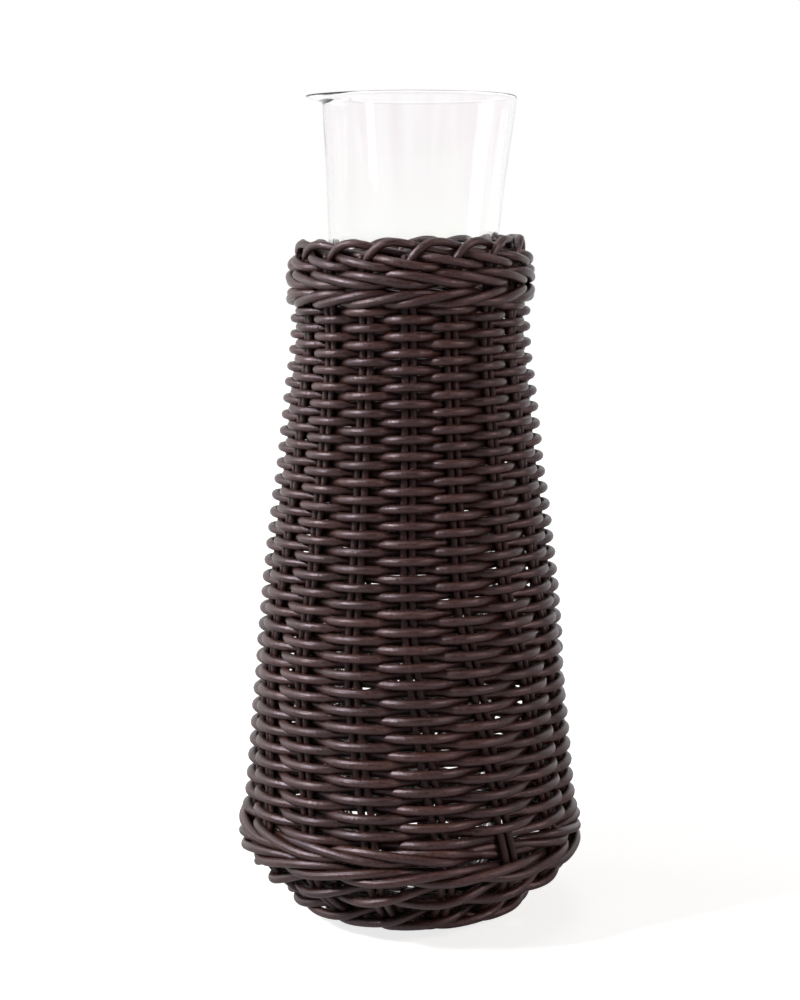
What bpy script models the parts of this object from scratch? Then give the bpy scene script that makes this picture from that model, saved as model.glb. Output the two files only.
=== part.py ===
"""A carafe: a clear glass insert with a pulled pouring lip, standing loose in a woven basket sleeve.

Metres, +Z up. The origin is on the surface that the basket stands on, at the basket's axis.
The lip points to -X. Azimuths are measured from the front, which is -Y, and grow towards +X.

The basket is described by one line, the middle of its wall, that runs from the centre of the base
out round the bowl and up to the mouth. Stakes follow that line, each length of weaving is a ring
that gives the line its thickness, and every ring has channels where the pairs of stakes pass.
"""

import math

import bmesh
import bpy
import numpy as np
from mathutils import Vector

# Rods
STAKE_D = 0.0026
WEAVER_D = 0.0031
PAIRS = 16
STAKE_SPACING = 0.0036
GAP = 0.0003

# Middle of the basket's wall: radius and height of the places that give it its shape
BASE_FLAT_R = 0.0220
BOWL_R = 0.0448
BOWL_Z = 0.0129
BELLY_R = 0.0577
BELLY_Z = 0.0283
HIP_INSIDE_BELLY = 0.0019
HIP_Z = 0.0450
FLANK_INSIDE_BELLY = 0.0046
FLANK_Z = 0.0764
WAIST_R = 0.0500
WAIST_Z = 0.1125
SHOULDER_R = 0.0462
SHOULDER_Z = 0.1467
COLLAR_R = 0.0432
COLLAR_Z = 0.1683
NECK_R = 0.0406
NECK_Z = 0.1918
THROAT_R = 0.0388
THROAT_Z = 0.2050
MOUTH_R = 0.0387
MOUTH_Z = 0.2445

# Heights on the wall's middle where one length of weaving ends and the next begins
BOWL_WEAVE_Z = 0.0090
LOWER_WALE_Z = 0.0215
LOWER_WALE_MIDDLE_Z = 0.0290
SIDING_Z = 0.0365
UPPER_WALE_Z = 0.2215
UPPER_WALE_MIDDLE_Z = 0.2280
BORDER_Z = 0.2345
SIDING_COURSES = 4
WALE_SWELL = 0.0006

# Stakes: they turn to the right low on the wall, and stand closer at the front above its middle than below
STAKE_ROOT_R = 0.0245
STAKE_TIP_BELOW_MOUTH = 0.0045
FIRST_PAIR_DEG = -1.2
LEAN_DEG = 15.0
LEAN_TOP_Z = 0.130
FRONT_CLOSE_DEG = 3.5
CLOSE_TOP_Z = 0.235
CLOSE_FULL_Z = 0.195
FRONT_SPREAD_DEG = 9.0
SPREAD_TOP_Z = 0.135
SPREAD_FULL_Z = 0.085

# Glass insert
GLASS_T = 0.0019
GLASS_OFFSET_X = 0.0011
GLASS_TOP_Z = 0.2940
GLASS_RIM_R = 0.0361
GLASS_FLARE_R = 0.0332
GLASS_FLARE_BELOW_RIM = 0.0220
GLASS_MOUTH_R = 0.0300
GLASS_MOUTH_BELOW_RIM = 0.0480
GLASS_FOOT_R = 0.0285
GLASS_FOOT_ROUND_R = 0.0090
LIP_TIP_R = 0.0380
LIP_HEIGHT = 0.0060
LIP_HALF_WIDTH_DEG = 45.0
LIP_DRAWN_IN = 0.68

# Faceting
RING_SIDES = 2 * PAIRS
GLASS_SIDES = 48
LINE_STEPS = 40
LONGEST_STEP = 0.045
SHARPEST_TURN_DEG = 18.0
SHORTEST_STEP = 0.004
MERGE = 0.00001

WICKER_COLOUR = (0.052, 0.034, 0.031, 1.0)
GLASS_COLOUR = (0.93, 0.95, 0.95, 1.0)

WALL_T = STAKE_D + 2 * WEAVER_D


def clear_scene():
    """Remove what the scene starts with."""
    for item in list(bpy.data.objects):
        bpy.data.objects.remove(item, do_unlink=True)


def new_collection(name):
    """Add a collection to the scene."""
    collection = bpy.data.collections.new(name)
    bpy.context.scene.collection.children.link(collection)
    return collection


def principled(name, colour, roughness, transmission=0.0):
    """A plain Principled material."""
    material = bpy.data.materials.new(name)
    material.use_nodes = True
    shader = material.node_tree.nodes["Principled BSDF"]
    shader.inputs["Base Color"].default_value = colour
    shader.inputs["Roughness"].default_value = roughness
    shader.inputs["Metallic"].default_value = 0.0
    shader.inputs["Transmission Weight"].default_value = transmission
    material.diffuse_color = colour
    return material


def add_object(name, data, material, collection):
    """Wrap a mesh or a curve as a named object with one material."""
    thing = bpy.data.objects.new(name, data)
    data.materials.append(material)
    collection.objects.link(thing)
    return thing


def wall_line():
    """Close points of the wall's middle, as radius and height, the length along it and its outward normal.

    The line is flat to the edge of the base. From there it is a cubic between each two named places,
    with a tangent at each place that weighs the chords on both sides by how near they end.
    """
    middle = WALL_T / 2
    places = np.array((
        (0.0, middle),
        (BASE_FLAT_R, middle),
        (BOWL_R, BOWL_Z),
        (BELLY_R, BELLY_Z),
        (BELLY_R - HIP_INSIDE_BELLY, HIP_Z),
        (BELLY_R - FLANK_INSIDE_BELLY, FLANK_Z),
        (WAIST_R, WAIST_Z),
        (SHOULDER_R, SHOULDER_Z),
        (COLLAR_R, COLLAR_Z),
        (NECK_R, NECK_Z),
        (THROAT_R, THROAT_Z),
        (MOUTH_R, MOUTH_Z),
    ))
    chords = np.diff(places, axis=0)
    lengths = np.linalg.norm(chords, axis=1)
    slopes = chords / lengths[:, None]
    before, after = lengths[:-1, None], lengths[1:, None]
    between = (slopes[:-1] * after + slopes[1:] * before) / (before + after)
    tangents = np.vstack((slopes[:1], between, slopes[-1:]))
    tangents[1] = slopes[0]
    t = np.linspace(0.0, 1.0, LINE_STEPS, endpoint=False)[:, None]
    runs = []
    for start, end, leave, arrive, length in zip(places, places[1:], tangents, tangents[1:], lengths):
        runs.append(
            (2 * t**3 - 3 * t**2 + 1) * start
            + (t**3 - 2 * t**2 + t) * length * leave
            + (3 * t**2 - 2 * t**3) * end
            + (t**3 - t**2) * length * arrive
        )
    points = np.vstack(runs + [places[-1:]])
    along = np.concatenate(([0.0], np.cumsum(np.linalg.norm(np.diff(points, axis=0), axis=1))))
    way = np.gradient(points, along, axis=0)
    way /= np.linalg.norm(way, axis=1)[:, None]
    return points, along, np.column_stack((way[:, 1], -way[:, 0]))


POINTS, ALONG, NORMALS = wall_line()


def on_wall(s, offset=0.0):
    """Radius and height at length s along the wall line, moved outwards by offset."""
    radius, z = (np.interp(s, ALONG, column) for column in POINTS.T)
    out, up = (np.interp(s, ALONG, column) for column in NORMALS.T)
    return float(radius + offset * out), float(z + offset * up)


def length_at_height(z):
    """Length along the wall line where the wall's middle is at height z."""
    risen = ALONG > BASE_FLAT_R
    return float(np.interp(z, POINTS[risen, 1], ALONG[risen]))


def stations(first, last):
    """Lengths along the wall line from first to last, closer together where it bends."""
    angles = np.unwrap(np.arctan2(NORMALS[:, 1], NORMALS[:, 0]))
    picked = [first]
    for s, angle in zip(ALONG, angles):
        turn = abs(angle - np.interp(picked[-1], ALONG, angles))
        if first < s < last and (turn > math.radians(SHARPEST_TURN_DEG) or s - picked[-1] > LONGEST_STEP):
            picked.append(float(s))
    if last - picked[-1] < SHORTEST_STEP:
        picked.pop()
    return [*picked, last]


STAKE_STATIONS = stations(STAKE_ROOT_R, length_at_height(MOUTH_Z - STAKE_TIP_BELOW_MOUTH))


def smooth(t):
    """Rise from 0 to 1 with level ends."""
    t = min(max(t, 0.0), 1.0)
    return t * t * (3.0 - 2.0 * t)


def pair_azimuth(pair, z):
    """Azimuth of a pair of stakes at height z: the even place, the lean, and the spread at the front."""
    even = 2 * math.pi * pair / PAIRS
    lean = FIRST_PAIR_DEG + LEAN_DEG * smooth(1.0 - z / LEAN_TOP_Z)
    closed = FRONT_CLOSE_DEG * smooth((CLOSE_TOP_Z - z) / (CLOSE_TOP_Z - CLOSE_FULL_Z))
    spread = FRONT_SPREAD_DEG * smooth((SPREAD_TOP_Z - z) / (SPREAD_TOP_Z - SPREAD_FULL_Z))
    return even + math.radians(lean + (spread - closed) * math.sin(even))


def pair_point(pair, s, sideways):
    """Point beside a pair's middle line at length s, moved level along the wall by sideways."""
    radius, z = on_wall(s)
    azimuth = pair_azimuth(pair, z)
    outwards = Vector((math.sin(azimuth), -math.cos(azimuth), 0.0))
    level = Vector((math.cos(azimuth), math.sin(azimuth), 0.0))
    return outwards * radius + level * sideways + Vector((0.0, 0.0, z))


def add_stake(name, pair, sideways, material, collection):
    """One stake: a rod from the base, round the bowl and up into the border."""
    curve = bpy.data.curves.new(name, "CURVE")
    curve.dimensions = "3D"
    curve.bevel_depth = STAKE_D / 2
    curve.bevel_resolution = 1
    curve.use_fill_caps = True
    spline = curve.splines.new("POLY")
    spline.points.add(len(STAKE_STATIONS) - 1)
    for point, s in zip(spline.points, STAKE_STATIONS):
        point.co = (*pair_point(pair, s, sideways), 1.0)
    add_object(name, curve, material, collection)


def add_stakes(material, collection):
    """Every pair's two stakes."""
    for pair in range(PAIRS):
        for side, way in (("left", -1), ("right", 1)):
            add_stake(f"stake_{pair + 1:02d}_{side}", pair, way * STAKE_SPACING / 2, material, collection)


def add_channels(material, collection):
    """The cutter: a flat slot round each pair of stakes along their whole run, clear of them by the gap."""
    half_width = STAKE_SPACING / 2 + STAKE_D / 2 + GAP
    run = [STAKE_STATIONS[0] - GAP, *STAKE_STATIONS[1:-1], STAKE_STATIONS[-1] + GAP]
    bm = bmesh.new()
    for pair in range(PAIRS):
        left, right = ([bm.verts.new(pair_point(pair, s, x)) for s in run] for x in (-half_width, half_width))
        for i in range(len(run) - 1):
            bm.faces.new((left[i], right[i], right[i + 1], left[i + 1]))
    mesh = bpy.data.meshes.new("stake_channels")
    bm.to_mesh(mesh)
    bm.free()
    cutter = add_object("stake_channels", mesh, material, collection)
    cutter.hide_render = True
    cutter.display_type = "WIRE"
    slot = cutter.modifiers.new("slot thickness", "SOLIDIFY")
    slot.thickness = STAKE_D + 2 * GAP
    slot.offset = 0.0
    slot.use_even_offset = True
    return cutter


def add_turned(name, outline, closed, material, collection):
    """A solid turned from an outline of radius and height that runs down its outer side."""
    last = len(outline) - 1
    edges = [(i, i + 1) for i in range(last)]
    if closed:
        edges.append((last, 0))
    mesh = bpy.data.meshes.new(name)
    mesh.from_pydata([(radius, 0.0, z) for radius, z in outline], edges, [])
    solid = add_object(name, mesh, material, collection)
    turn = solid.modifiers.new("turn", "SCREW")
    turn.steps = RING_SIDES
    turn.render_steps = RING_SIDES
    turn.use_merge_vertices = True
    turn.merge_threshold = MERGE
    return solid


def cut_channels(solid, channels):
    """Take the stakes' channels out of a solid."""
    cut = solid.modifiers.new("stake channels", "BOOLEAN")
    cut.operation = "DIFFERENCE"
    cut.object = channels


def lengths_between(start, end):
    """The stakes' stations between two lengths along the wall line, with the two ends."""
    between = [s for s in STAKE_STATIONS if start + SHORTEST_STEP < s < end - SHORTEST_STEP]
    return [start, *between, end]


def add_woven_ring(name, z_from, z_to, half_t, material, collection, channels):
    """A length of weaving between two heights of the wall, as a solid ring with the stakes' channels."""
    lengths = lengths_between(length_at_height(z_from) + GAP / 2, length_at_height(z_to) - GAP / 2)
    outside = [on_wall(s, half_t) for s in reversed(lengths)]
    inside = [on_wall(s, -WALL_T / 2) for s in lengths]
    cut_channels(add_turned(name, outside + inside, True, material, collection), channels)


def add_base(material, collection, channels):
    """The woven base: a disc, flat below, that turns up at its edge and holds the roots of the stakes."""
    lengths = lengths_between(BASE_FLAT_R, length_at_height(BOWL_WEAVE_Z) - GAP / 2)
    top = [(0.0, WALL_T), *(on_wall(s, -WALL_T / 2) for s in lengths)]
    underside = [*(on_wall(s, WALL_T / 2) for s in reversed(lengths)), (0.0, 0.0)]
    cut_channels(add_turned("base_weave", top + underside, False, material, collection), channels)


def add_border(material, collection, channels):
    """The rolled border: a ring with a rounded crown that closes over the tips of the stakes."""
    radius, z = on_wall(length_at_height(BORDER_Z) + GAP / 2)
    half, rise = WALL_T / 2, MOUTH_Z - z
    crown = [(half * math.cos(a), rise * math.sin(a)) for a in np.radians((180, 145, 90, 35, 0))]
    outline = [(radius + x, z + y) for x, y in crown]
    cut_channels(add_turned("rim_border", outline, True, material, collection), channels)


def add_weaving(material, collection, channels):
    """All the weaving, from the base up."""
    half = WALL_T / 2
    add_base(material, collection, channels)
    course = (UPPER_WALE_Z - SIDING_Z) / SIDING_COURSES
    rings = [
        ("bowl_weave", BOWL_WEAVE_Z, LOWER_WALE_Z, half),
        ("lower_wale_first_round", LOWER_WALE_Z, LOWER_WALE_MIDDLE_Z, half + WALE_SWELL),
        ("lower_wale_second_round", LOWER_WALE_MIDDLE_Z, SIDING_Z, half + WALE_SWELL),
        ("upper_wale_first_round", UPPER_WALE_Z, UPPER_WALE_MIDDLE_Z, half),
        ("upper_wale_second_round", UPPER_WALE_MIDDLE_Z, BORDER_Z, half),
    ]
    for i in range(SIDING_COURSES):
        rings.append((f"siding_course_{i + 1}", SIDING_Z + i * course, SIDING_Z + (i + 1) * course, half))
    for name, z_from, z_to, half_t in rings:
        add_woven_ring(name, z_from, z_to, half_t, material, collection, channels)
    add_border(material, collection, channels)


def glass_section():
    """Half the glass's section: down the outside from the rim, round the foot, and up the inside."""
    foot_z = WALL_T + GAP
    centre_r, centre_z = GLASS_FOOT_R - GLASS_FOOT_ROUND_R, foot_z + GLASS_FOOT_ROUND_R
    flare_z = GLASS_TOP_Z - GLASS_FLARE_BELOW_RIM
    flare_places = ((GLASS_MOUTH_R, GLASS_TOP_Z - GLASS_MOUTH_BELOW_RIM), (GLASS_FLARE_R, flare_z),
                    (GLASS_RIM_R, GLASS_TOP_Z))
    heights = (GLASS_TOP_Z, GLASS_TOP_Z - LIP_HEIGHT / 2, GLASS_TOP_Z - LIP_HEIGHT,
               (GLASS_TOP_Z + flare_z) / 2, flare_z, GLASS_TOP_Z - GLASS_MOUTH_BELOW_RIM)
    radii = np.interp(heights, [z for _, z in flare_places], [r for r, _ in flare_places])
    bend = np.radians((0, 30, 60, 90))

    def foot(round_r):
        return [(centre_r + round_r * math.cos(a), centre_z - round_r * math.sin(a)) for a in bend]

    outside = [*zip(radii, heights), *foot(GLASS_FOOT_ROUND_R)]
    inside = [*foot(GLASS_FOOT_ROUND_R - GLASS_T)[::-1], *zip(radii[::-1] - GLASS_T, heights[::-1])]
    return [*outside, (0.0, foot_z), (0.0, foot_z + GLASS_T), *inside]


def pulled_lip(point):
    """Move a point of the turned glass to where the lip's making leaves it.

    Round the lip's azimuth the flare below it is drawn in, and the rim is pulled out to the tip.
    """
    radius = point.xy.length
    if radius < MERGE:
        return point
    off_lip = abs(math.atan2(point.y, -point.x))
    share = math.cos(min(off_lip / math.radians(LIP_HALF_WIDTH_DEG), 1.0) * math.pi / 2) ** 2
    below_rim = GLASS_TOP_Z - point.z
    flare = np.interp(below_rim, (0.0, GLASS_MOUTH_BELOW_RIM), (GLASS_RIM_R - GLASS_MOUTH_R, 0.0))
    under = smooth(below_rim / LIP_HEIGHT)
    pull = (1.0 - under) * (LIP_TIP_R - GLASS_RIM_R) - under * LIP_DRAWN_IN * flare
    scale = 1.0 + share * pull / radius
    return Vector((point.x * scale, point.y * scale, point.z))


def add_glass(material, collection):
    """The glass insert: its section turned once round, then its lip pulled."""
    bm = bmesh.new()
    verts = [bm.verts.new((radius, 0.0, z)) for radius, z in glass_section()]
    edges = [bm.edges.new(ends) for ends in zip(verts, verts[1:] + verts[:1])]
    on_axis = edges.pop(next(i for i, edge in enumerate(edges) if all(v.co.x < MERGE for v in edge.verts)))
    bm.edges.remove(on_axis)
    bmesh.ops.spin(bm, geom=verts + edges, axis=(0, 0, 1), cent=(0, 0, 0), angle=math.tau, steps=GLASS_SIDES)
    bmesh.ops.remove_doubles(bm, verts=bm.verts, dist=MERGE)
    bmesh.ops.recalc_face_normals(bm, faces=bm.faces)
    for vert in bm.verts:
        vert.co = pulled_lip(vert.co)
    mesh = bpy.data.meshes.new("glass_insert")
    bm.to_mesh(mesh)
    bm.free()
    mesh.shade_smooth()
    insert = add_object("glass_insert", mesh, material, collection)
    insert.location.x = GLASS_OFFSET_X


def main():
    clear_scene()
    parts = new_collection("carafe_in_basket")
    cutters = new_collection("cutters")
    wicker = principled("brown_wicker", WICKER_COLOUR, 0.45)
    glass = principled("clear_glass", GLASS_COLOUR, 0.02, 0.9)
    channels = add_channels(wicker, cutters)
    add_stakes(wicker, parts)
    add_weaving(wicker, parts, channels)
    add_glass(glass, parts)


main()
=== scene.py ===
"""Looks of the carafe in its woven basket sleeve.

All the wicker is made of round rods that follow one map: place() turns a position counted in pairs of
stakes, a length along the wall's middle line and a distance outwards into a point. The line is the CAD
part's own. Lengths are in millimetres, but the points of a path or a mesh and the studio are in metres.
"""

import math

import bpy
import numpy as np
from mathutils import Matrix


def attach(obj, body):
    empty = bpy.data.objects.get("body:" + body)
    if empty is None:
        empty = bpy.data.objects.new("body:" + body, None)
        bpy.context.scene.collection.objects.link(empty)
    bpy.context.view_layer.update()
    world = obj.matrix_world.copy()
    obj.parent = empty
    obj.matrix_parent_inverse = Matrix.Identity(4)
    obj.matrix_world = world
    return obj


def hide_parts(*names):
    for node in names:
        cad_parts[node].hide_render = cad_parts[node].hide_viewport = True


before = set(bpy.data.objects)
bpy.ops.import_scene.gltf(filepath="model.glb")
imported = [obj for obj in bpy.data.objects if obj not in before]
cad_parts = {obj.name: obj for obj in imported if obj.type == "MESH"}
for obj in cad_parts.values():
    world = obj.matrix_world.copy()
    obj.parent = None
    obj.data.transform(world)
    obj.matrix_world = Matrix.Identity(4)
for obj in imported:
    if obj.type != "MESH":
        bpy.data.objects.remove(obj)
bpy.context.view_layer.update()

MM = 0.001
TURN = 2 * math.pi
PAIRS = 16

# Diameters of the round wicker, and how far apart the two stakes of a pair stand
STAKE_D = 2.6
WEAVER_D = 3.1
WALE_ROD_D = 3.25
BORDER_ROD_D = 2.9
STAKE_SPACING = 3.5
STAKE_TOP_SPACING = 2.8

# Wall's middle line: the centre and the edge of the flat base, then each named place up to the mouth
BASE_FLAT_R = 22.0
BASE_MIDDLE_Z = 4.47
WALL_PLACES = (
    (0.0, BASE_MIDDLE_Z), (BASE_FLAT_R, BASE_MIDDLE_Z), (44.8, 12.9), (57.7, 28.3), (55.8, 45.0),
    (53.1, 76.4), (50.0, 112.5), (46.2, 146.7), (43.2, 168.3), (40.6, 191.8), (38.8, 205.0), (38.7, 244.5),
)

# Degrees that the pairs stand off their even places, and the heights between which that comes on
FIRST_PAIR_DEG = -1.2
LEAN_DEG, LEAN_TOP_Z = 15.0, 130.0
CLOSE_DEG, CLOSE_TOP_Z, CLOSE_FULL_Z = 3.5, 235.0, 195.0
SPREAD_DEG, SPREAD_TOP_Z, SPREAD_FULL_Z = 9.0, 135.0, 85.0

# Heights that stand for the whole of a band where only its azimuth is asked for
LOWER_WALE_Z, LOW_SIDING_Z, MIDDLE_SIDING_Z, BORDER_Z = 35.0, 60.0, 100.0, 240.0

# Points of a weaver's path from one pair to the next
STEPS = 12
# Two rods share the rows, so each moves on by two rows a turn
ROWS_A_PAIR = 2 / PAIRS
# A hand's unevenness: along the wall and outwards, and of the thickness as a share of it
HAND_ALONG, HAND_OUT, HAND_SWELL = 0.12, 0.06, 0.012

# A wale rod's rise about the middle of its round, and its way outwards: the middle, the swing, the dent
WALE_RISE = 1.75
WALE_MIDDLE, WALE_SWING, WALE_DENT = 0.97, 3.15, 0.72
# How far out the three ends lie where they are tucked behind a pair: one of them, and the other two
TUCKED_DEEP, TUCKED = -6.2, -3.0

# A rod's round end: where its circles stand on the quarter circle, and how far past them its pole is,
# as a share of the rod's radius
END_DEGREES = (12.0, 35.0, 60.0)
POLE_SHARE = 0.12
# Girths from the start of one rod's pattern to that of the piece's next: no two have the same streaks
PATTERN_STEP = 3.7

# Waves a pair of stakes, or a unit of whatever the unevenness is counted in
RIPPLE_WAVES = (0.11, 0.23, 0.41)

# Glass: its axis, its heights and outer radii, and its walls
GLASS_X = 1.1
GLASS_TOP = 294.0
GLASS_RIM_R = 36.1
GLASS_MOUTH_Z, GLASS_MOUTH_R = 246.0, 30.0
GLASS_FLARE = ((272.0, 33.2), (284.0, 34.9))
GLASS_TAPER_Z = 120.0
GLASS_FOOT_Z, GLASS_FOOT_R, GLASS_FOOT_ROUND_R = 9.1, 28.5, 9.0
WALL = 1.9
BOTTOM_WALL = 3.4
GLASS_SIDES = 144
# Its lip: how far the rim is pulled out, the share of the flare that is drawn in under the rim, the
# degrees to each side that both reach, and how far below the top the one gives way to the other
LIP_PULL, LIP_PULL_DEG = 2.2, 45.0
LIP_DRAW, LIP_DRAW_DEG = 0.68, 66.0
LIP_DEPTH = 2.8


# The wall and its map

def smooth(t):
    """Rise from 0 to 1 with level ends: 3 t squared less 2 t cubed."""
    t = np.clip(t, 0.0, 1.0)
    return t * t * (3.0 - 2.0 * t)


def unit(rows):
    """Rows of one vector each, all scaled to length 1."""
    return rows / np.linalg.norm(rows, axis=1)[:, None]


def length_along(points):
    """Length along a line of points, from the first of them to each."""
    return np.concatenate(([0.0], np.cumsum(np.linalg.norm(np.diff(points, axis=0), axis=1))))


def cubic(t, start, end, leaving, arriving):
    """The cubic from start, at t = 0, to end, at t = 1, with its changes per t at both ends."""
    return ((2 * t**3 - 3 * t**2 + 1) * start + (t**3 - 2 * t**2 + t) * leaving
            + (3 * t**2 - 2 * t**3) * end + (t**3 - t**2) * arriving)


def curve_through(x, y, at):
    """Cubics through the places x, y, read at the values at.

    The slope at a place is the mean of the chords on both sides, each weighed by the length of the other.
    """
    slope = np.gradient(y, x)
    k = np.clip(np.searchsorted(x, at) - 1, 0, len(x) - 2)
    h = x[k + 1] - x[k]
    return cubic((at - x[k]) / h, y[k], y[k + 1], h * slope[k], h * slope[k + 1])


def wall_line(steps=60):
    """Radius and height, length along the line and outward normal of the wall's middle.

    Between two places the line is a cubic. The tangent at a place is the mean of the chords on both
    sides, each weighed by the length of the other, and at the edge of the base it is level.
    """
    places = np.array(WALL_PLACES)
    chords = np.diff(places, axis=0)
    lengths = np.linalg.norm(chords, axis=1)[:, None]
    slopes = chords / lengths
    between = (slopes[:-1] * lengths[1:] + slopes[1:] * lengths[:-1]) / (lengths[:-1] + lengths[1:])
    tangents = np.vstack((slopes[:1], between, slopes[-1:]))
    tangents[1] = slopes[0]
    t = np.linspace(0.0, 1.0, steps, endpoint=False)[:, None, None]
    runs = cubic(t, places[:-1], places[1:], lengths * tangents[:-1], lengths * tangents[1:])
    points = np.vstack((runs.transpose(1, 0, 2).reshape(-1, 2), places[-1:]))
    along = length_along(points)
    way = unit(np.gradient(points, along, axis=0))
    return points, along, np.column_stack((way[:, 1], -way[:, 0]))


POINTS, ALONG, NORMALS = wall_line()


def line_at(s):
    """Radius and height of the wall's middle, and its normal, at length s: read between its points."""
    return tuple(np.interp(s, ALONG, column) for column in (*POINTS.T, *NORMALS.T))


def length_at_height(z):
    """Length along the wall line where the wall's middle is at height z: read past the flat base."""
    risen = ALONG > BASE_FLAT_R + 0.5
    return np.interp(z, POINTS[risen, 1], ALONG[risen])


def azimuth(u, z):
    """Azimuth, from the front, of position u, in pairs, at height z.

    It is the even place, plus the lean that grows downwards, plus the sine of the even place times the
    spread low down less the closing up under the neck.
    """
    even = TURN * u / PAIRS
    lean = FIRST_PAIR_DEG + LEAN_DEG * smooth(1.0 - z / LEAN_TOP_Z)
    closed = CLOSE_DEG * smooth((CLOSE_TOP_Z - z) / (CLOSE_TOP_Z - CLOSE_FULL_Z))
    spread = SPREAD_DEG * smooth((SPREAD_TOP_Z - z) / (SPREAD_TOP_Z - SPREAD_FULL_Z))
    return even + np.radians(lean + (spread - closed) * np.sin(even))


def place(u, s, out, sideways=0.0):
    """Points in metres: out along the wall's normal from length s, at position u, moved level by sideways."""
    radius, z, across, up = line_at(s)
    angle = azimuth(u, z)
    radius = radius + across * out
    z = z + up * out
    x = np.sin(angle) * radius + np.cos(angle) * sideways
    y = -np.cos(angle) * radius + np.sin(angle) * sideways
    return np.stack((x, y, z), axis=-1) * MM


def outwards(u, s):
    """Unit outward normals of the wall at position u and length s."""
    _, z, across, up = line_at(s)
    angle = azimuth(u, z)
    parts = np.broadcast_arrays(np.sin(angle) * across, -np.cos(angle) * across, up)
    return np.stack(parts, axis=-1)


def ripple(t, seed):
    """Smooth unevenness of about plus or minus 1 along t.

    It is the sum of three sines over the root of three. Each phase is a large multiple of a sine of the
    seed, so that two seeds have nothing in common.
    """
    phases = np.sin(np.arange(1, len(RIPPLE_WAVES) + 1) * (seed * 12.9898 + 4.1)) * 43.7
    return sum(np.sin(TURN * w * t + p) for w, p in zip(RIPPLE_WAVES, phases)) / math.sqrt(len(RIPPLE_WAVES))


# Meshes

class Rods:
    """Collects rods and makes one mesh of them.

    A rod is a circle carried along a path: the point at turn v is the path plus the radius times
    (normal cos v + side sin v), where the side is square to the path and to the wall's outward normal.
    The last few circles shrink as a quarter circle does, to a pole, so each end is round and closed.
    UV: x is the length along the rod over its girth, y is the turn, with its seam on the inner side.
    """

    def __init__(self, sides=12):
        self.sides = sides
        self.points, self.faces, self.uvs, self.count, self.rods = [], [], [], 0, 0

    def add(self, path, normal, diameter):
        """Add a rod along the points of path, in metres, with its diameter in millimetres."""
        radius = np.broadcast_to(np.asarray(diameter, float) * MM / 2, len(path))
        way = unit(np.gradient(path, axis=0))
        caps = len(END_DEGREES)
        beyond, shrink = np.sin(np.radians(END_DEGREES)), np.cos(np.radians(END_DEGREES))
        head = path[0] - way[0] * radius[0] * beyond[::-1, None]
        tail = path[-1] + way[-1] * radius[-1] * beyond[:, None]
        path = np.vstack((head, path, tail))
        radius = np.concatenate((radius[0] * shrink[::-1], radius, radius[-1] * shrink))
        way, normal = (
            np.vstack((np.repeat(rows[:1], caps, axis=0), rows, np.repeat(rows[-1:], caps, axis=0)))
            for rows in (way, normal)
        )
        side = unit(np.cross(way, normal))
        up = np.cross(side, way)
        n, m = len(path), self.sides
        v = np.arange(m) * TURN / m + math.pi
        ring = up[:, None] * np.cos(v)[:, None] + side[:, None] * np.sin(v)[:, None]
        body = path[:, None] + ring * radius[:, None, None]
        poles = np.stack((path[0] - way[0] * radius[caps] * POLE_SHARE,
                          path[-1] + way[-1] * radius[-1 - caps] * POLE_SHARE))
        i, turn = np.arange(n - 1)[:, None], np.arange(m)
        here, after = i * m + turn, i * m + (turn + 1) % m
        quads = np.stack((here, after, after + m, here + m), axis=-1).reshape(-1, 4)
        first = np.stack((after[0], here[0], np.full(m, n * m)), axis=-1)
        last = np.stack((here[-1] + m, after[-1] + m, np.full(m, n * m + 1)), axis=-1)
        length = length_along(path) / (TURN * np.median(radius)) + PATTERN_STEP * self.rods
        x0, x1, y0, y1 = np.broadcast_arrays(length[i], length[i + 1], turn / m, (turn + 1) / m)
        quad_uv = np.stack((x0, y0, x0, y1, x1, y1, x1, y0), axis=-1).reshape(-1, 2)
        y0, y1, a, b = turn / m, (turn + 1) / m, np.full(m, length[0]), np.full(m, length[-1])
        first_uv = np.stack((a, y1, a, y0, a, (y0 + y1) / 2), axis=-1)
        last_uv = np.stack((b, y0, b, y1, b, (y0 + y1) / 2), axis=-1)
        self.points.append(np.vstack((body.reshape(-1, 3), poles)))
        self.faces.append((quads + self.count, np.vstack((first, last)) + self.count))
        self.uvs.append((quad_uv, np.vstack((first_uv.reshape(-1, 2), last_uv.reshape(-1, 2)))))
        self.count += n * m + 2
        self.rods += 1

    def finish(self, name, material, body, replaced):
        """Make the mesh of all rods: it rides on the body and stands for the CAD nodes in replaced."""
        quads = np.vstack([f[0] for f in self.faces])
        fans = np.vstack([f[1] for f in self.faces])
        uv = np.vstack([u[0] for u in self.uvs] + [u[1] for u in self.uvs])
        piece = make_piece(name, np.vstack(self.points), (quads, fans), uv, material)
        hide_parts(*replaced)
        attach(piece, body)


def make_piece(name, points, faces, uv, material):
    """A mesh object from arrays of points, of faces by their number of corners, and of a UV a corner."""
    mesh = bpy.data.meshes.new(name)
    sizes = np.concatenate([np.full(len(f), f.shape[1]) for f in faces])
    corners = np.concatenate([f.ravel() for f in faces])
    mesh.vertices.add(len(points))
    mesh.vertices.foreach_set("co", points.ravel())
    mesh.loops.add(len(corners))
    mesh.loops.foreach_set("vertex_index", corners)
    mesh.polygons.add(len(sizes))
    mesh.polygons.foreach_set("loop_start", np.concatenate(([0], np.cumsum(sizes)[:-1])))
    mesh.update(calc_edges=True)
    if uv is not None:
        layer = mesh.uv_layers.new(name="along")
        layer.data.foreach_set("uv", uv.ravel())
    mesh.polygons.foreach_set("use_smooth", np.ones(len(sizes), bool))
    mesh.materials.append(material)
    mesh.validate()
    piece = bpy.data.objects.new(name, mesh)
    bpy.context.scene.collection.objects.link(piece)
    return piece


# Materials

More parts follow.
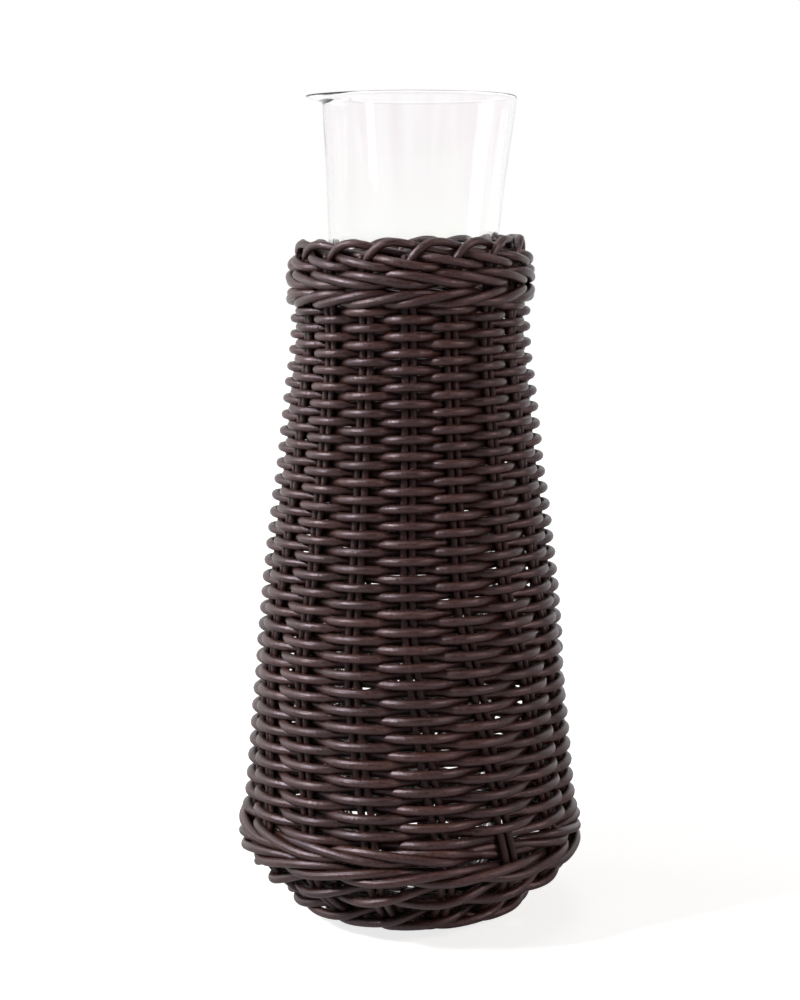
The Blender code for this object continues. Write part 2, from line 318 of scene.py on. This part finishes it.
def linear(code):
    """Linear colour of an sRGB hex value."""
    parts = [int(code[i:i + 2], 16) / 255 for i in (1, 3, 5)]
    return (*(c / 12.92 if c <= 0.04045 else ((c + 0.055) / 1.055) ** 2.4 for c in parts), 1.0)


def add_node(tree, kind, links=None, **settings):
    """Add a node: links feed its sockets, sockets= sets their values, and the rest sets its own fields."""
    node = tree.nodes.new(kind)
    for key, value in settings.items():
        if key == "sockets":
            for socket, constant in value.items():
                node.inputs[socket].default_value = constant
        else:
            setattr(node, key, value)
    for socket, source in (links or {}).items():
        tree.links.new(source, node.inputs[socket])
    return node


def new_material(name):
    """A material with nothing but its output and a Principled shader."""
    material = bpy.data.materials.new(name)
    material.use_nodes = True
    return material, material.node_tree, material.node_tree.nodes["Principled BSDF"]


def resin_wicker(name, dark, middle, light, roughness, gloss):
    """Extruded polyethylene wicker.

    It is drawn through a die, so fine lines run along each rod, and each length takes its colour
    from a batch. To the eye: a satin brown with a broad, slightly streaky gloss.
    """
    material, tree, shader = new_material(name)
    along = add_node(tree, "ShaderNodeUVMap", uv_map="along").outputs["UV"]
    here = add_node(tree, "ShaderNodeTexCoord").outputs["Object"]
    # One girth is about 10 mm: 26 die lines round it are 0.4 mm apart, and each runs for some 60 mm
    lines = add_node(tree, "ShaderNodeMapping", {"Vector": along}, sockets={"Scale": (0.16, 26.0, 1.0)})
    grain = add_node(tree, "ShaderNodeTexNoise", {"Vector": lines.outputs["Vector"]},
                     sockets={"Scale": 1.0, "Detail": 3.0, "Roughness": 0.6})
    # The batch colour changes every 40 mm or so along a rod
    lengths = add_node(tree, "ShaderNodeMapping", {"Vector": along}, sockets={"Scale": (0.22, 0.6, 1.0)})
    batch = add_node(tree, "ShaderNodeTexNoise", {"Vector": lengths.outputs["Vector"]},
                     sockets={"Scale": 1.0, "Detail": 2.0})
    # Fine scuffs, 0.7 mm across
    scuff = add_node(tree, "ShaderNodeTexNoise", {"Vector": here}, sockets={"Scale": 1400.0, "Detail": 4.0})
    mixed = add_node(tree, "ShaderNodeMix", {"A": grain.outputs["Fac"], "B": batch.outputs["Fac"]},
                     data_type="FLOAT", sockets={"Factor": 0.55})
    speckled = add_node(tree, "ShaderNodeMix", {"A": mixed.outputs["Result"], "B": scuff.outputs["Fac"]},
                        data_type="FLOAT", sockets={"Factor": 0.5})
    colours = add_node(tree, "ShaderNodeValToRGB", {"Fac": speckled.outputs["Result"]})
    ramp = colours.color_ramp.elements
    ramp[0].position, ramp[0].color = 0.43, linear(dark)
    ramp[1].position, ramp[1].color = 0.57, linear(light)
    ramp.new(0.5).color = linear(middle)
    tree.links.new(colours.outputs["Color"], shader.inputs["Base Color"])
    # Scuffed spots are duller, and the die lines and the scuffs are each some 0.1 mm high
    scuffed = add_node(tree, "ShaderNodeMapRange", {"Value": scuff.outputs["Fac"]},
                       sockets={"From Min": 0.3, "From Max": 0.7,
                                "To Min": roughness - 0.06, "To Max": roughness + 0.08})
    tree.links.new(scuffed.outputs["Result"], shader.inputs["Roughness"])
    height = add_node(tree, "ShaderNodeMath", {0: grain.outputs["Fac"], 1: scuff.outputs["Fac"]},
                      operation="ADD")
    bump = add_node(tree, "ShaderNodeBump", {"Height": height.outputs["Value"]},
                    sockets={"Strength": 0.75, "Distance": 0.2 * MM})
    tree.links.new(bump.outputs["Normal"], shader.inputs["Normal"])
    shader.inputs["IOR"].default_value = 1.5
    shader.inputs["Specular IOR Level"].default_value = gloss
    shader.inputs["Specular Tint"].default_value = linear("#ffecf9")
    return material


def clear_glass():
    """Soda-lime glass, blown thin and fire polished.

    Its walls show only as soft grey lines where the eye looks along them, at the rim and at the lip.
    A faint waviness of the wall, 20 mm long, bends what is behind it a little.
    """
    material, tree, shader = new_material("clear_soda_lime_glass")
    here = add_node(tree, "ShaderNodeTexCoord").outputs["Object"]
    waves = add_node(tree, "ShaderNodeTexNoise", {"Vector": here}, sockets={"Scale": 50.0, "Detail": 1.0})
    bump = add_node(tree, "ShaderNodeBump", {"Height": waves.outputs["Fac"]},
                    sockets={"Strength": 0.1, "Distance": 0.4 * MM})
    tree.links.new(bump.outputs["Normal"], shader.inputs["Normal"])
    # Upright streaks about 8 mm apart, painted into the wall's tint as painted reflection, fade out from 282
    # mm down to 252 mm
    upright = add_node(tree, "ShaderNodeMapping", {"Vector": here}, sockets={"Scale": (130.0, 130.0, 7.0)})
    streaks = add_node(tree, "ShaderNodeTexNoise", {"Vector": upright.outputs["Vector"]},
                       sockets={"Scale": 1.0, "Detail": 1.0})
    reflection_streak_tints = add_node(tree, "ShaderNodeValToRGB", {"Fac": streaks.outputs["Fac"]})
    ramp = reflection_streak_tints.color_ramp.elements
    ramp[0].position, ramp[0].color = 0.36, linear("#faf6f8")
    ramp[1].position, ramp[1].color = 0.56, linear("#fefdfd")
    height = add_node(tree, "ShaderNodeSeparateXYZ", {"Vector": here}).outputs["Z"]
    fading = add_node(tree, "ShaderNodeMapRange", {"Value": height},
                      sockets={"From Min": 252.0 * MM, "From Max": 282.0 * MM})
    streak_reflected = add_node(tree, "ShaderNodeMix", {"Factor": fading.outputs["Result"], "B": reflection_streak_tints.outputs["Color"]},
                     data_type="RGBA", sockets={"A": linear("#fdfdfc")})
    # The bead of the rim, its top 1 mm or so, is tinted greyer: painted shade for the grey line the rim shows
    # where the eye looks along it
    bead = add_node(tree, "ShaderNodeMapRange", {"Value": height},
                    sockets={"From Min": (GLASS_TOP - 1.6) * MM, "From Max": (GLASS_TOP - 1.0) * MM})
    rim_shade_painted = add_node(tree, "ShaderNodeMix", {"Factor": bead.outputs["Result"], "A": streak_reflected.outputs["Result"]},
                      data_type="RGBA", sockets={"B": linear("#f4f2f5")})
    tree.links.new(rim_shade_painted.outputs["Result"], shader.inputs["Base Color"])
    shader.inputs["Transmission Weight"].default_value = 1.0
    shader.inputs["Specular IOR Level"].default_value = 0.3
    shader.inputs["Roughness"].default_value = 0.0
    # Soda-lime glass has 1.52: less is drawn here, so that the sleeve is not mirrored in the clear wall
    shader.inputs["IOR"].default_value = 1.33
    return material


def studio_glow(tree, here, unseen):
    """How bright the white studio is to a ray.

    It is 1 seen straight or through glass, and so it is in a gloss, from 0.6 behind the object on. In
    front of the object, where the room is dark, a gloss shows only 0.08 of it. Any other ray gets unseen.
    The 0.6 are metres on the paper, and in the world they are the backward part of a direction.
    """
    seen = add_node(tree, "ShaderNodeLightPath").outputs
    straight = add_node(tree, "ShaderNodeMath", {0: seen["Is Camera Ray"], 1: seen["Is Transmission Ray"]},
                        operation="MAXIMUM")
    behind = add_node(tree, "ShaderNodeSeparateXYZ", {"Vector": here})
    backdrop = add_node(tree, "ShaderNodeMapRange", {"Value": behind.outputs["Y"]},
                        sockets={"From Min": 0.1, "From Max": 0.6, "To Min": 0.08, "To Max": 1.0})
    gloss = add_node(tree, "ShaderNodeMath", {0: seen["Is Glossy Ray"], 1: backdrop.outputs["Result"]},
                     operation="MULTIPLY")
    either = add_node(tree, "ShaderNodeMath", {0: straight.outputs["Value"], 1: gloss.outputs["Value"]},
                      operation="MAXIMUM")
    brightest = add_node(tree, "ShaderNodeMath", {0: either.outputs["Value"]}, sockets={1: unseen},
                         operation="MAXIMUM")
    return brightest.outputs["Value"]


def white_paper():
    """Matt white backdrop paper, without a coat: pale and even, it keeps the object's shadow."""
    material, tree, shader = new_material("matt_white_paper")
    here = add_node(tree, "ShaderNodeTexCoord").outputs["Object"]
    away = add_node(tree, "ShaderNodeVectorMath", {0: here}, operation="LENGTH")
    # Painted light: the flat paper's glow whitens from 0.25 m away to 0.9 m, as paper curving up into the
    # light behind the object would
    painted_far_light = add_node(tree, "ShaderNodeMapRange", {"Value": away.outputs["Value"]},
                      sockets={"From Min": 0.25, "From Max": 0.9, "To Min": 0.78, "To Max": 1.0})
    glow = add_node(tree, "ShaderNodeMath", {0: studio_glow(tree, here, 0.0), 1: painted_far_light.outputs["Result"]},
                    operation="MULTIPLY")
    tree.links.new(glow.outputs["Value"], shader.inputs["Emission Strength"])
    shader.inputs["Emission Color"].default_value = linear("#ffffff")
    shader.inputs["Base Color"].default_value = linear("#b8b8b8")
    shader.inputs["Roughness"].default_value = 0.9
    return material


# Wicker

def right_side(angle):
    """The square of the sine of an azimuth on the right half, and 0 on the left."""
    return np.maximum(np.sin(angle), 0.0) ** 2


def wale_lift(u):
    """How far the lower wale stands above its even level: the front is higher, the right side lower.

    It is 1.6 cos a - 0.9 sin a squared on the right half, and 1.6 cos a on the left, a the azimuth.
    """
    angle = azimuth(u, LOWER_WALE_Z)
    return 1.6 * np.cos(angle) - 0.9 * right_side(angle)


def siding_lift(u, s):
    """The lowest rows of the siding ride up on the right side.

    It is 0.35 sin a squared there, a the azimuth, and dies out over 40 mm up to s = 130.
    """
    return 0.35 * right_side(azimuth(u, LOW_SIDING_Z)) * smooth((130.0 - s) / 40.0)


def crown_lift(u):
    """The upper wale and the border climb to the right, by 0.9 times the sine of the even azimuth."""
    return 0.9 * np.sin(TURN * u / PAIRS)


def over_under(t):
    """Distance outwards of a weaver that passes over one pair and under the next, flattened at each.

    It is the sum of the two rods' radii times (cos pi t - 0.06 cos 3 pi t) / 0.94, with 0.02 mm less, so
    that the rods touch.
    """
    reach = (STAKE_D + WEAVER_D) / 2 - 0.02
    return reach * (np.cos(math.pi * t) - 0.06 * np.cos(3 * math.pi * t)) / 0.94


def siding_height(row):
    """Length along the wall of a row counted from the lower wale.

    It is a square curve: rows are 3.08 mm apart at the bottom and closer by 0.0036 mm each row up.
    """
    return 79.77 + 3.0776 * row - 0.0017768 * row**2


def siding_thickness(t, s):
    """Diameter of the siding's cane, which is thicker low down.

    It grows by 0.34 - 0.1 cos a, a the azimuth, from s = 190 down to 130, and by 0.07 more from s = 140
    down to 100.
    """
    more = 0.34 - 0.1 * np.cos(azimuth(t, MIDDLE_SIDING_Z))
    return WEAVER_D + more * smooth((190.0 - s) / 60.0) + 0.07 * smooth((140.0 - s) / 40.0)


def weaver(rods, t, s, out, seed, diameter=WEAVER_D):
    """Add a weaver: t in pairs, s along the wall, out from it, and the seed of its hand's unevenness."""
    s = s + HAND_ALONG * ripple(t, seed)
    out = out + HAND_OUT * ripple(t, seed + 7)
    swell = diameter * (1.0 + HAND_SWELL * ripple(t, seed + 13))
    rods.add(place(t, s, out), outwards(t, s), swell)


def siding():
    """Two weavers chase each other: each climbs two rows a turn, over one pair and under the next.

    Each has its own first and last pair, and its four lengths meet where it is behind a pair.
    """
    starts, ends = (-9, 2), (489, 500)
    for course in range(4):
        rods = Rods()
        for j in range(2):
            behind_a_pair = [ends[j] * k // 8 * 2 + 1 - j for k in (1, 2, 3)]
            first, last = [starts[j], *behind_a_pair, ends[j]][course:course + 2]
            t = np.linspace(first, last, (last - first) * STEPS + 1)
            s = siding_height(t * ROWS_A_PAIR - j)
            weaver(rods, t, s + siding_lift(t, s), over_under(t + j), 3 + 5 * j, siding_thickness(t, s))
        rods.finish(f"siding_weave_{course + 1}", WICKER, "basket", [f"siding_course_{course + 1}"])


def wale(rods, s_middle, rises, lift, proud=0.0, start=-8, tucked=False):
    """Add a round of three rods, each before two pairs and behind one, from the pair at start.

    With f the turn since a rod was behind a pair, the rod stands the rise times sin f above or below the
    round's middle, and proud + middle - swing cos f - dent cos 2f out. At the back each stroke is a third
    longer, so that the sixteen pairs close. Where the ends are tucked in, all three rods dive behind the
    pair at start, one of them deeper than the others.
    """
    t = np.linspace(start, start + PAIRS, PAIRS * STEPS + 1)
    strokes = np.interp(t, (-10.0, -6.0, 6.0, 10.0, 22.0), (-9.0, -6.0, 6.0, 9.0, 21.0))
    dive = tucked * smooth(1.55 - 1.5 * np.minimum(t - t[0], t[-1] - t))
    for j in range(3):
        f = TURN * (strokes + j) / 3
        s = s_middle - rises * WALE_RISE * np.sin(f) + lift(t)
        out = proud + WALE_MIDDLE - WALE_SWING * np.cos(f) - WALE_DENT * np.cos(2 * f)
        inside = TUCKED_DEEP if (start + j) % 3 == 0 else TUCKED
        weaver(rods, t, s, out + dive * (inside - out), 31 + j + s_middle, WALE_ROD_D)


def wales():
    """The two rounds at the widest part and the two under the border: in each two the slants meet."""
    for name, replaced, s_middle, rises, lift, proud, start in (
        ("lower_wale_rods_1", "lower_wale_first_round", 67.5, 1, wale_lift, 0.0, -8),
        ("lower_wale_rods_2", "lower_wale_second_round", 73.9, -1, wale_lift, 0.0, 1),
        ("upper_wale_rods_1", "upper_wale_first_round", 265.1, 1, crown_lift, 0.8, -8),
        ("upper_wale_rods_2", "upper_wale_second_round", 271.5, -1, crown_lift, 0.8, -8),
    ):
        rods = Rods()
        wale(rods, s_middle, rises, lift, proud, start, tucked=start == 1)
        rods.finish(name, WICKER, "basket", [replaced])


def bowl():
    """The loose weaving under the lower wale: sixteen short rods that climb to the right side by side.

    Each starts behind the foot's wale, passes behind a pair, over the next and behind the third while
    it climbs 7.5 mm a pair and less at its end, and ends under the lower wale. The path is a cubic
    through its places at the pairs that it passes.
    """
    rods = Rods()
    passed = np.array((0.0, 1.0, 2.0, 3.0, 3.3))
    heights = np.array((44.0, 51.4, 59.0, 62.2, 62.5))
    outs = np.array((-3.1, -2.9, 2.75, -2.7, -2.6))
    v = np.linspace(0.1, 3.3, 50)
    for j in range(PAIRS):
        s = curve_through(passed, heights, v) + 0.7 * ripple(v * 0.8, j + 3) * smooth(v)
        weaver(rods, v + j, s, curve_through(passed, outs, v), 61 + j, WEAVER_D * 1.04)
    rods.finish("bowl_weave_rods", WICKER, "basket", ["bowl_weave"])


def base_sticks(rods):
    """Add the cross: four sticks through four, whose ends fan out.

    A stick lies along x in a lane beside the middle. Past the middle block its distance from x grows by
    the tangent of its share of the fan. The four below and the four above stand apart in the middle and
    bend level outwards, by a quarter of a cosine's wave.
    """
    reach, lane, fan_degrees, block, apart, bent = 30.0, 2.75, 22.5, 8.5, 1.25, 11.0
    turn_of_fan = azimuth(1.5, BASE_MIDDLE_Z) - math.pi / 2
    x = np.linspace(-reach, reach, 61)
    down = np.tile((0.0, 0.0, -1.0), (len(x), 1))
    near = np.cos(np.clip(np.abs(x) / bent, 0.0, 1.0) * math.pi / 2)
    for across in range(2):
        turn = turn_of_fan + across * math.pi / 2
        for k in (-1.5, -0.5, 0.5, 1.5):
            y = k * lane + math.tan(math.radians(k * fan_degrees)) * np.maximum(np.abs(x) - block, 0.0)
            path = np.stack((
                x * math.cos(turn) - y * math.sin(turn),
                x * math.sin(turn) + y * math.cos(turn),
                BASE_MIDDLE_Z + (apart if across else -apart) * near,
            ), axis=-1)
            rods.add(path * MM, down, STAKE_D)


def base():
    """The base: the cross of sticks, rows woven round it, and the wale that the basket stands on.

    The rows are spirals, and each pair of rods moves outwards by two rows a turn: the inner two rods bind
    two sticks at a time, the outer two go over and under the pairs of stakes.
    """
    rods = Rods()
    base_sticks(rods)
    for j, pairs_passed in enumerate((47, 40)):
        t = np.linspace(0.0, 20.0, 20 * STEPS + 1)
        out = (STAKE_D + WEAVER_D) / 2 * np.cos(math.pi * (t - 0.5) / 2 + math.pi * j)
        weaver(rods, t, 10.2 + 3.1 * (t * ROWS_A_PAIR + j), out, 81 + j)
        t = np.linspace(0.0, pairs_passed, pairs_passed * STEPS + 1)
        weaver(rods, t, 17.6 + 3.08 * (t * ROWS_A_PAIR + j), over_under(t + j), 91 + j)
    wale(rods, 41.6, 1, lambda t: 0.5 * ripple(t, 5))
    rods.finish("base_weave_rows", WICKER, "basket", ["base_weave"])


def stakes(names):
    """Pairs of stakes from the base to the border, a little uneven.

    A pair's two stakes stand level to each side of its place. Up to s = 170 they draw together, over the
    last 70 mm, and thin by 0.12, over the last 60 mm.
    """
    rods = Rods()
    foot, top = 19.0, length_at_height(238.5)
    s = np.linspace(foot, top, 150)
    apart = STAKE_TOP_SPACING + (STAKE_SPACING - STAKE_TOP_SPACING) * smooth((170.0 - s) / 70.0)
    thick = STAKE_D + 0.12 * smooth((170.0 - s) / 60.0)
    for pair in range(PAIRS):
        u = np.full(len(s), float(pair))
        for side in (-1, 1):
            level = side * apart / 2 * (1 + 0.04 * ripple(s / 20, pair * 2 + side))
            level = level + 0.12 * ripple(s / 30, pair)
            out = 0.08 * ripple(s / 12, pair + 40 * side)
            rods.add(place(u, s, out, level), outwards(u, s), thick)
    rods.finish("paired_stakes", SHADED_STAKE_WICKER, "basket", names)


def border():
    """The rolled border.

    Each stake's end arches over to the right, passes inside the next arch, comes out under the one
    after that, lies outside two feet as the border's band, turns in and ends along the inside. The
    path is a cubic through places given as pairs passed, height and distance outwards. The arches are
    lowest at the back and highest on the right: they are sunk by 0.75 - 0.25 cos a, less 0.65 sin a
    squared on the right half, a the azimuth.
    """
    way = np.array((
        (-0.03, 234.2, 0.0), (0.04, 237.6, 0.3), (0.14, 240.4, 0.6), (0.28, 242.5, 0.7),
        (0.45, 243.8, 0.5), (0.66, 244.2, 0.0), (0.90, 243.7, -1.0), (1.15, 242.6, -2.3),
        (1.50, 241.1, -3.2), (2.00, 239.4, -2.6), (2.32, 239.0, -0.2), (2.62, 238.2, 2.4),
        (3.00, 236.9, 3.3), (3.30, 235.9, 3.1), (3.56, 235.5, 1.4), (3.76, 235.5, -1.2),
        (3.96, 236.3, -3.2), (4.25, 237.7, -4.1), (4.60, 239.0, -4.4), (5.00, 239.9, -4.5),
        (5.30, 240.1, -4.5),
    ))
    pair_width = 15.5
    chord = length_along(way * (pair_width, 1, 1))
    fine = np.linspace(0.0, chord[-1], 140)
    u, z, out = (curve_through(chord, way[:, k], fine) for k in range(3))
    thick = BORDER_ROD_D * (1.0 + 0.06 * smooth((u - 1.5) / 1.2))
    rods = Rods(sides=14)
    for pair in range(PAIRS):
        w = u + pair + 0.03 * math.sin(pair * 2.3)
        angle = azimuth(w, BORDER_Z)
        sunk = 0.75 - 0.25 * np.cos(angle) - 0.65 * right_side(angle)
        s = length_at_height(z) + crown_lift(w) + 0.25 * math.sin(pair * 4.7) * smooth((w - pair) * 2)
        s = s - sunk * smooth((z - 237.0) / 6.0)
        rods.add(place(w, s, out), outwards(w, s), thick)
    rods.finish("border_rods", WICKER, "basket", ["rim_border"])


# Glass

def arc(degrees):
    """Cosines and sines of a row of angles."""
    return np.cos(np.radians(degrees)), np.sin(np.radians(degrees))


def glass_section():
    """Radius and height of the glass's wall: down the outside, round the foot, up the inside, over the rim.

    Above the mouth of the sleeve the outer radius is a cubic, below it a smooth taper to the foot. The
    inside is the outside less the wall. Also gives the number of the innermost ring under the bottom:
    the next one lies over it.
    """
    rim = GLASS_TOP - WALL / 2
    heights, radii = np.array(((GLASS_MOUTH_Z, GLASS_MOUTH_R), *GLASS_FLARE, (rim, GLASS_RIM_R))).T
    z = np.concatenate((rim - (rim - GLASS_MOUTH_Z) * np.linspace(0.0, 1.0, 34) ** 1.8,
                        np.linspace(GLASS_MOUTH_Z - 3.0, 19.0, 40)))
    share = smooth((z - GLASS_TAPER_Z) / (GLASS_MOUTH_Z - GLASS_TAPER_Z))
    outer = np.where(z >= GLASS_MOUTH_Z, curve_through(heights, radii, np.clip(z, GLASS_MOUTH_Z, rim)),
                     GLASS_FOOT_R + (GLASS_MOUTH_R - GLASS_FOOT_R) * share)
    inner_round = GLASS_FOOT_ROUND_R - WALL
    flat_r = GLASS_FOOT_R - GLASS_FOOT_ROUND_R
    floor_z = GLASS_FOOT_Z + BOTTOM_WALL
    cos_out, sin_out = arc(np.linspace(8, 90, 10))
    cos_in, sin_in = cos_out[::-1], sin_out[::-1]
    foot_out = np.column_stack((flat_r + GLASS_FOOT_ROUND_R * cos_out,
                                GLASS_FOOT_Z + GLASS_FOOT_ROUND_R * (1.0 - sin_out)))
    foot_in = np.column_stack((flat_r + inner_round * cos_in, floor_z + inner_round * (1.0 - sin_in)))
    inside_z = np.maximum(z[::-1], floor_z + inner_round)
    inside_r = np.interp(inside_z, z[::-1], outer[::-1]) - WALL
    cos_bead, sin_bead = arc(np.linspace(15, 165, 9))
    bead = np.column_stack((GLASS_RIM_R - WALL / 2 * (1.0 + cos_bead), rim + WALL / 2 * sin_bead))
    # The bottom is level inside and hollowed by 0.4 mm in the middle underneath
    section = np.vstack((
        np.column_stack((outer, z)), foot_out, (11.0, GLASS_FOOT_Z), (5.0, GLASS_FOOT_Z + 0.3),
        (5.0, floor_z), (11.0, floor_z), foot_in, np.column_stack((inside_r, inside_z)), bead,
    ))
    return section, len(z) + len(foot_out) + 1


def glass():
    """The glass: a closed section turned once round, then its lip pulled.

    At the lip the flare is drawn in under the rim, and the rim is pulled out, both by the square of a
    cosine, whose quarter wave is as long as the azimuth from the lip that they reach.
    """
    section, under_middle = glass_section()
    n, k = GLASS_SIDES, len(section)
    angle = (np.arange(n) * TURN / n)[:, None]
    r, h = (np.tile(column, (n, 1)) for column in section.T)
    off_lip = np.abs(angle - math.pi)
    pull, draw = (
        np.cos(np.minimum(off_lip / math.radians(reach), 1.0) * math.pi / 2) ** 2
        for reach in (LIP_PULL_DEG, LIP_DRAW_DEG)
    )
    below = GLASS_TOP - h
    flare = np.interp(below, (0.0, GLASS_TOP - GLASS_MOUTH_Z), (GLASS_RIM_R - GLASS_MOUTH_R, 0.0))
    under = smooth(below / LIP_DEPTH)
    r += pull * (1.0 - under) * LIP_PULL - draw * under * LIP_DRAW * flare
    grid = np.stack((GLASS_X + r * np.cos(angle), r * np.sin(angle), h), axis=-1).reshape(-1, 3)
    centres = np.array(((GLASS_X, 0.0, GLASS_FOOT_Z + 0.4), (GLASS_X, 0.0, GLASS_FOOT_Z + BOTTOM_WALL)))
    i, j = np.meshgrid(np.arange(n), np.delete(np.arange(k), under_middle), indexing="ij")
    i2, j2 = (i + 1) % n, (j + 1) % k
    quads = np.stack((i * k + j, i * k + j2, i2 * k + j2, i2 * k + j), axis=-1).reshape(-1, 4)
    low = np.arange(n) * k + under_middle
    low_next = np.roll(low, -1)
    fans = np.vstack((
        np.stack((low, np.full(n, n * k), low_next), axis=-1),
        np.stack((low + 1, low_next + 1, np.full(n, n * k + 1)), axis=-1),
    ))
    piece = make_piece("drawn_glass", np.vstack((grid, centres)) * MM, (quads, fans), None, clear_glass())
    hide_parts("glass_insert")
    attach(piece, "glass")


# Studio

def add_object(name, data, spot, rotation):
    """Put a lamp or a camera in the scene."""
    thing = bpy.data.objects.new(name, data)
    thing.location = spot
    thing.rotation_euler = rotation
    bpy.context.scene.collection.objects.link(thing)
    return thing


def add_area(name, spot, size, watts, colour="#ffffff"):
    """A square soft light, its side in metres, that points from its spot at the middle of the object."""
    lamp = bpy.data.lights.new(name, "AREA")
    lamp.size = size
    lamp.energy = watts
    lamp.color = linear(colour)[:3]
    middle = (0.0, 0.0, 0.14)
    way = np.subtract(middle, spot)
    tilt = math.atan2(math.hypot(way[0], way[1]), -way[2])
    add_object(name, lamp, spot, (tilt, 0.0, math.atan2(-way[0], way[1])))


def studio():
    """Pale floor, soft lights, a world that is white where it is seen, and the camera."""
    half = 4.0
    corners = np.array(((-half, -half, 0.0), (half, -half, 0.0), (half, half, 0.0), (-half, half, 0.0)))
    floor = make_piece("paper_floor", corners, (np.array(((0, 1, 2, 3),)),), None, white_paper())
    add_area("key_light", (-1.2, -0.58, 1.02), 0.24, 30.0)
    add_area("side_light", (-1.3, 0.25, 0.5), 0.6, 4.0)
    add_area("fill_light", (1.35, -0.8, 0.8), 0.35, 11.0, "#ffe6dd")
    add_area("top_light", (-0.1, -0.1, 1.7), 0.9, 4.5)
    world = bpy.data.worlds.new("white_studio")
    world.use_nodes = True
    shown = world.node_tree.nodes["Background"]
    way = add_node(world.node_tree, "ShaderNodeTexCoord").outputs["Generated"]
    # What is lit but not seen gets 0.11 of the white from all round
    glow = studio_glow(world.node_tree, way, 0.11)
    world.node_tree.links.new(glow, shown.inputs["Strength"])
    shown.inputs["Color"].default_value = linear("#ffffff")
    # The camera stands 0.72 m in front of the basket's axis and looks down by 8.21 degrees
    spot, tilt = (-0.0037, -0.7214, 0.2553), math.radians(90.0 - 8.21)
    camera = bpy.data.cameras.new("camera")
    camera.sensor_width = 36.0
    camera.lens = 72.98
    camera.clip_start = 0.01
    scene = bpy.context.scene
    scene.world = world
    scene.camera = add_object("camera", camera, spot, (tilt, 0.0, 0.0))
    scene.view_settings.view_transform = "Standard"


WICKER = resin_wicker("extruded_resin_wicker", "#1f0f0b", "#2f1811", "#442a22", 0.35, 0.75)
# The stakes get a darker, less glossy copy of the wicker: painted shade for stakes that stand back between
# the weavers
SHADED_STAKE_WICKER = resin_wicker("shaded_thin_resin_wicker", "#1d0e0a", "#2a1510", "#39221b", 0.38, 0.4)

studio()
siding()
wales()
bowl()
base()
stakes([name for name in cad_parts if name.startswith("stake_")])
border()
glass()
